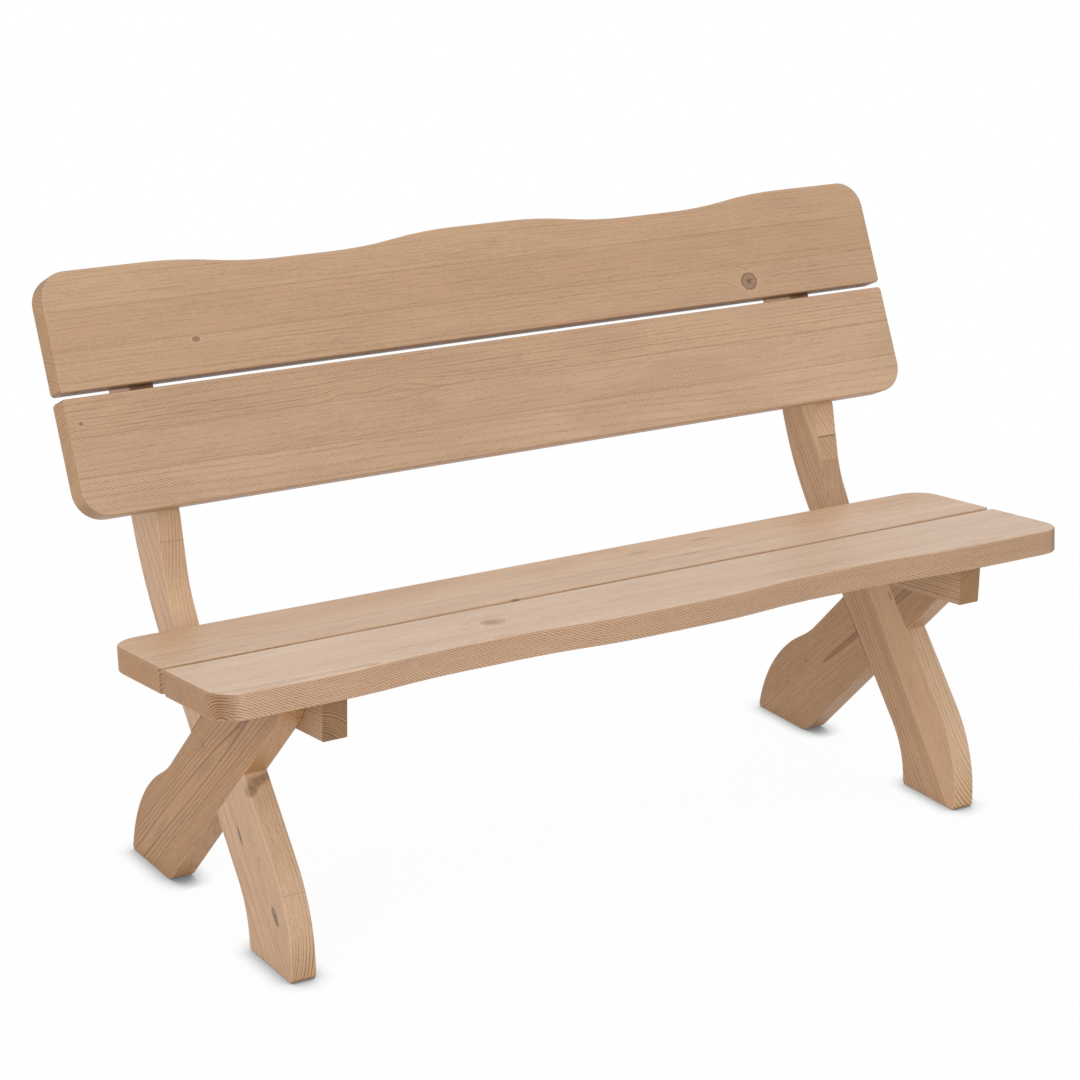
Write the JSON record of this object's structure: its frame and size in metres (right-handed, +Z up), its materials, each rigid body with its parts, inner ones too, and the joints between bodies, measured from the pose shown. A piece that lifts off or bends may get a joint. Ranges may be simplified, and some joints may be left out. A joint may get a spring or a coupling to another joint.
{
  "type": "plank bench with crossed legs",
  "caption": "Wooden garden bench: thick planks with rounded corners and a wavy seat front and backrest top, on crossed legs that are halved into each other.",
  "frame": {"origin": "middle of the bench's footprint, on the ground", "axes": "+X along the bench to the right as seen from the front, +Y to the back, +Z up"},
  "size_m": [1.5, 0.6602, 0.9278],
  "materials": {
    "planks": "brushed, unfinished softwood with matt open grain",
    "legs": "brushed, unfinished softwood with matt open grain",
    "bearers": "brushed, unfinished softwood with matt open grain",
    "screws": "zinc plated steel"
  },
  "bodies": {
    "root": {"seat_plank_front": "planks", "seat_plank_rear": "planks", "back_plank_lower": "planks", "back_plank_upper": "planks", "right_long_leg": "legs", "left_long_leg": "legs", "right_short_leg": "legs", "left_short_leg": "legs", "right_bearer": "bearers", "left_bearer": "bearers", "seat_screws": "screws", "bearer_screws": "screws", "lower_back_screws": "screws", "upper_back_screws": "screws"}
  },
  "joints": []
}
